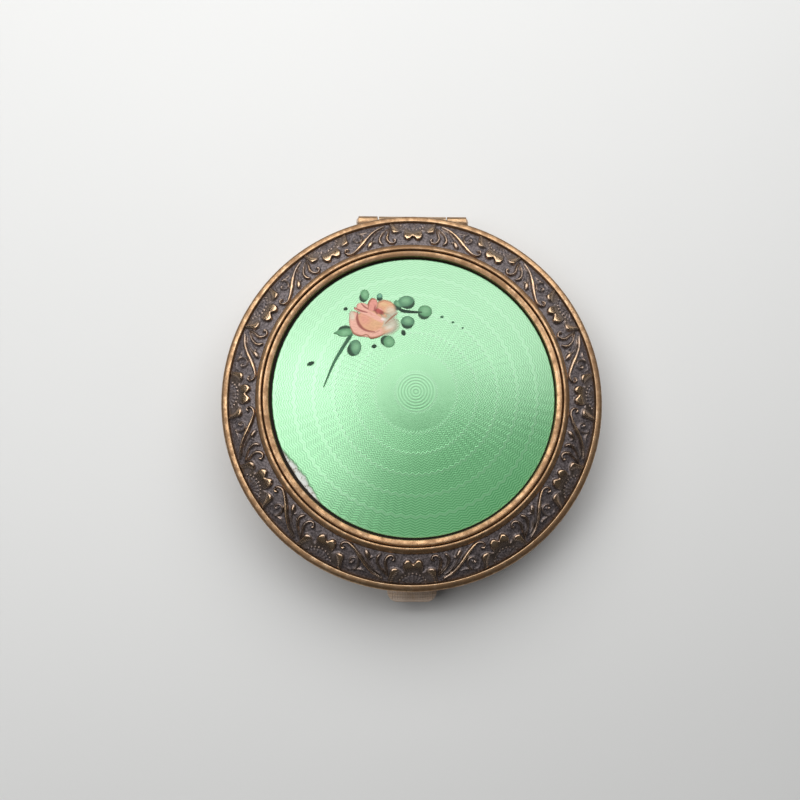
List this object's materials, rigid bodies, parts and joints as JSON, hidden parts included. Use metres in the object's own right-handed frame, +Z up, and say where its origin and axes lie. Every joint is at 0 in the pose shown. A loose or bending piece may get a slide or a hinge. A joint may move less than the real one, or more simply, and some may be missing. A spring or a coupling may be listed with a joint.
{
  "type": "pill box",
  "caption": "Round hinged brass pill box with a domed enamelled plaque painted with a rose, an embossed floral border, a tube hinge and a sprung push catch.",
  "frame": {"origin": "centre of the flat bottom of the base, which is the centre of the round box", "axes": "+Z up through the lid's dome, +Y towards the hinge, -Y towards the thumb tab of the catch, +X to the right when the thumb tab faces the user"},
  "size_m": [0.056, 0.0586, 0.0127],
  "materials": {
    "antiqued_brass": "stamped floral relief with dark patina in the recesses and rubbed gilt high spots",
    "gilt_brass": "satin gilt brass with light wear and fine scratches",
    "polished_brass": "polished gilt brass inside the box",
    "aged_brass": "dull brown tarnished brass",
    "enamel": "translucent mint enamel over an engine-turned ground, with an opaque painted rose",
    "spring_steel": "drawn spring wire"
  },
  "bodies": {
    "base": {"base_pan": "gilt_brass", "base_collar": "polished_brass", "base_hinge_leaf": "gilt_brass", "hinge_pin": "aged_brass", "latch_bracket": "gilt_brass", "latch_rivet_left": "aged_brass", "latch_rivet_right": "aged_brass", "latch_spring": "spring_steel"},
    "lid": {"lid_shell": "antiqued_brass", "plaque_bezel": "gilt_brass", "enamel_plaque": "enamel", "lid_liner_plate": "polished_brass", "liner_retaining_ring": "gilt_brass", "lid_keeper": "aged_brass", "lid_hinge_leaf": "gilt_brass"},
    "latch": {"latch_button": "aged_brass"}
  },
  "joints": [
    {"name": "lid_hinge", "type": "hinge", "parent": "base", "child": "lid", "pos_m": [0, 0.02805, 0.0062], "axis": [-1, 0, 0], "range_deg": [0, 105]},
    {"name": "latch_push", "type": "slide", "parent": "base", "child": "latch", "axis": [0, 1, 0], "range_m": [0, 0.0008], "stiffness_N_per_m": 2500, "deforming": ["latch_spring"]}
  ]
}
